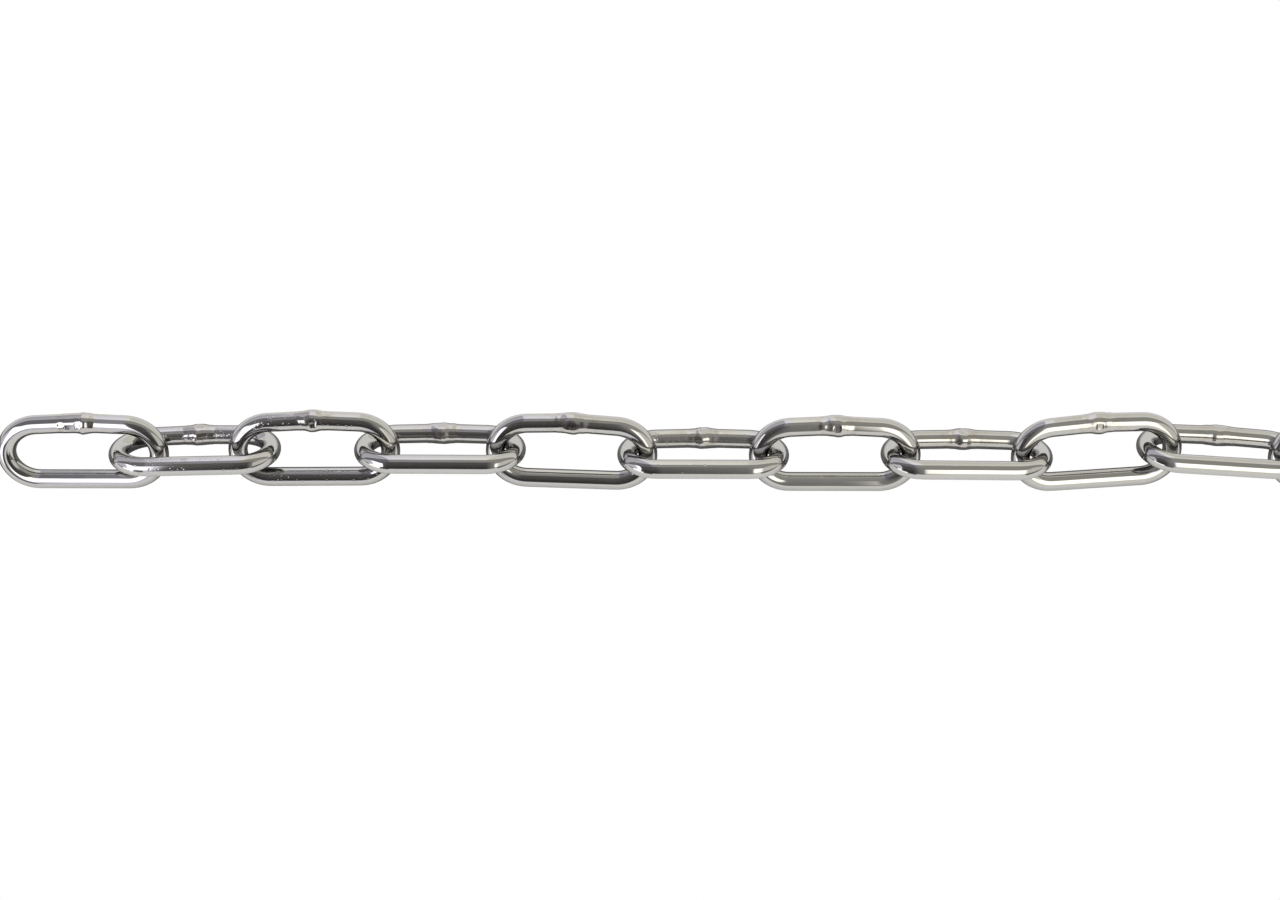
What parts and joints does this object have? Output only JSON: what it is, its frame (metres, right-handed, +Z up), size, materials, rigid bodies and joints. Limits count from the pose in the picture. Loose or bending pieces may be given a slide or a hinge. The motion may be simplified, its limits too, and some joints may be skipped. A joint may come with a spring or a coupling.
{
  "type": "long-link steel chain",
  "caption": "Straight run of long-link welded stainless chain, polished, lying on the floor with its links crossed and leaning; every link swings on the next.",
  "frame": {"origin": "on the floor, under the middle of the chain's box", "axes": "+X along the chain from link_01 to link_24, +Y towards the welded sides, +Z up"},
  "size_m": [0.9912, 0.0236, 0.0202],
  "materials": {
    "polished_stainless": "polished"
  },
  "bodies": {
    "link_01": {"link_01": "polished_stainless"},
    "link_02": {"link_02": "polished_stainless"},
    "link_03": {"link_03": "polished_stainless"},
    "link_04": {"link_04": "polished_stainless"},
    "link_05": {"link_05": "polished_stainless"},
    "link_06": {"link_06": "polished_stainless"},
    "link_07": {"link_07": "polished_stainless"},
    "link_08": {"link_08": "polished_stainless"},
    "link_09": {"link_09": "polished_stainless"},
    "link_10": {"link_10": "polished_stainless"},
    "link_11": {"link_11": "polished_stainless"},
    "link_12": {"link_12": "polished_stainless"},
    "link_13": {"link_13": "polished_stainless"},
    "link_14": {"link_14": "polished_stainless"},
    "link_15": {"link_15": "polished_stainless"},
    "link_16": {"link_16": "polished_stainless"},
    "link_17": {"link_17": "polished_stainless"},
    "link_18": {"link_18": "polished_stainless"},
    "link_19": {"link_19": "polished_stainless"},
    "link_20": {"link_20": "polished_stainless"},
    "link_21": {"link_21": "polished_stainless"},
    "link_22": {"link_22": "polished_stainless"},
    "link_23": {"link_23": "polished_stainless"},
    "link_24": {"link_24": "polished_stainless"}
  },
  "joints": [
    {"name": "swing_01_02", "type": "hinge", "parent": "link_01", "child": "link_02", "pos_m": [-0.44453, -0.00047, 0.00953], "axis": [0.0017, 0.7009, 0.7133], "range_deg": [-90, 90]},
    {"name": "swing_02_03", "type": "hinge", "parent": "link_02", "child": "link_03", "pos_m": [-0.40928, 0.00046, 0.01004], "axis": [0.0169, -0.7659, 0.6428], "range_deg": [-90, 90]},
    {"name": "swing_03_04", "type": "hinge", "parent": "link_03", "child": "link_04", "pos_m": [-0.37182, 0.00057, 0.00953], "axis": [0.0036, -0.7009, -0.7133], "range_deg": [-90, 90]},
    {"name": "swing_04_05", "type": "hinge", "parent": "link_04", "child": "link_05", "pos_m": [-0.33226, 0.00033, 0.01004], "axis": [0.0038, 0.766, -0.6428], "range_deg": [-90, 90]},
    {"name": "swing_05_06", "type": "hinge", "parent": "link_05", "child": "link_06", "pos_m": [-0.29093, -0.00128, 0.00953], "axis": [0.0254, 0.7004, 0.7133], "range_deg": [-90, 90]},
    {"name": "swing_06_07", "type": "hinge", "parent": "link_06", "child": "link_07", "pos_m": [-0.24956, -0.00126, 0.01004], "axis": [-0.0019, -0.766, 0.6428], "range_deg": [-90, 90]},
    {"name": "swing_07_08", "type": "hinge", "parent": "link_07", "child": "link_08", "pos_m": [-0.2082, -0.00136, 0.00953], "axis": [-0.0017, -0.7009, -0.7133], "range_deg": [-90, 90]},
    {"name": "swing_08_09", "type": "hinge", "parent": "link_08", "child": "link_09", "pos_m": [-0.16685, -0.00179, 0.01004], "axis": [0.0074, 0.766, -0.6428], "range_deg": [-90, 90]},
    {"name": "swing_09_10", "type": "hinge", "parent": "link_09", "child": "link_10", "pos_m": [-0.12599, 0.00133, 0.00953], "axis": [-0.0487, 0.6992, 0.7133], "range_deg": [-90, 90]},
    {"name": "swing_10_11", "type": "hinge", "parent": "link_10", "child": "link_11", "pos_m": [-0.08642, -0.00188, 0.01004], "axis": [-0.0511, -0.7643, 0.6428], "range_deg": [-90, 90]},
    {"name": "swing_11_12", "type": "hinge", "parent": "link_11", "child": "link_12", "pos_m": [-0.04508, -0.00004, 0.00953], "axis": [0.0254, -0.7004, -0.7133], "range_deg": [-90, 90]},
    {"name": "swing_12_13", "type": "hinge", "parent": "link_12", "child": "link_13", "pos_m": [-0.00372, 0.00017, 0.01004], "axis": [-0.0056, 0.766, -0.6428], "range_deg": [-90, 90]},
    {"name": "swing_13_14", "type": "hinge", "parent": "link_13", "child": "link_14", "pos_m": [0.03763, -0.00083, 0.00953], "axis": [0.0153, 0.7007, 0.7133], "range_deg": [-90, 90]},
    {"name": "swing_14_15", "type": "hinge", "parent": "link_14", "child": "link_15", "pos_m": [0.07898, -0.0014, 0.01004], "axis": [-0.0111, -0.766, 0.6428], "range_deg": [-90, 90]},
    {"name": "swing_15_16", "type": "hinge", "parent": "link_15", "child": "link_16", "pos_m": [0.12033, -0.00017, 0.00953], "axis": [0.0186, -0.7007, -0.7133], "range_deg": [-90, 90]},
    {"name": "swing_16_17", "type": "hinge", "parent": "link_16", "child": "link_17", "pos_m": [0.16168, 0.00039, 0.01004], "axis": [-0.0111, 0.766, -0.6428], "range_deg": [-90, 90]},
    {"name": "swing_17_18", "type": "hinge", "parent": "link_17", "child": "link_18", "pos_m": [0.20304, -0.00041, 0.00953], "axis": [0.0119, 0.7008, 0.7133], "range_deg": [-90, 90]},
    {"name": "swing_18_19", "type": "hinge", "parent": "link_18", "child": "link_19", "pos_m": [0.24439, -0.00122, 0.01004], "axis": [-0.0148, -0.7659, 0.6428], "range_deg": [-90, 90]},
    {"name": "swing_19_20", "type": "hinge", "parent": "link_19", "child": "link_20", "pos_m": [0.28575, -0.00083, 0.00953], "axis": [0.0051, -0.7009, -0.7133], "range_deg": [-90, 90]},
    {"name": "swing_20_21", "type": "hinge", "parent": "link_20", "child": "link_21", "pos_m": [0.3271, 0.00012, 0.01004], "axis": [-0.0167, 0.7659, -0.6428], "range_deg": [-90, 90]},
    {"name": "swing_21_22", "type": "hinge", "parent": "link_21", "child": "link_22", "pos_m": [0.36846, -0.0005, 0.00953], "axis": [0.0085, 0.7009, 0.7133], "range_deg": [-90, 90]},
    {"name": "swing_22_23", "type": "hinge", "parent": "link_22", "child": "link_23", "pos_m": [0.40981, -0.0011, 0.01004], "axis": [-0.0111, -0.766, 0.6428], "range_deg": [-90, 90]},
    {"name": "swing_23_24", "type": "hinge", "parent": "link_23", "child": "link_24", "pos_m": [0.45117, -0.0003, 0.00953], "axis": [0.0119, -0.7008, -0.7133], "range_deg": [-90, 90]}
  ]
}
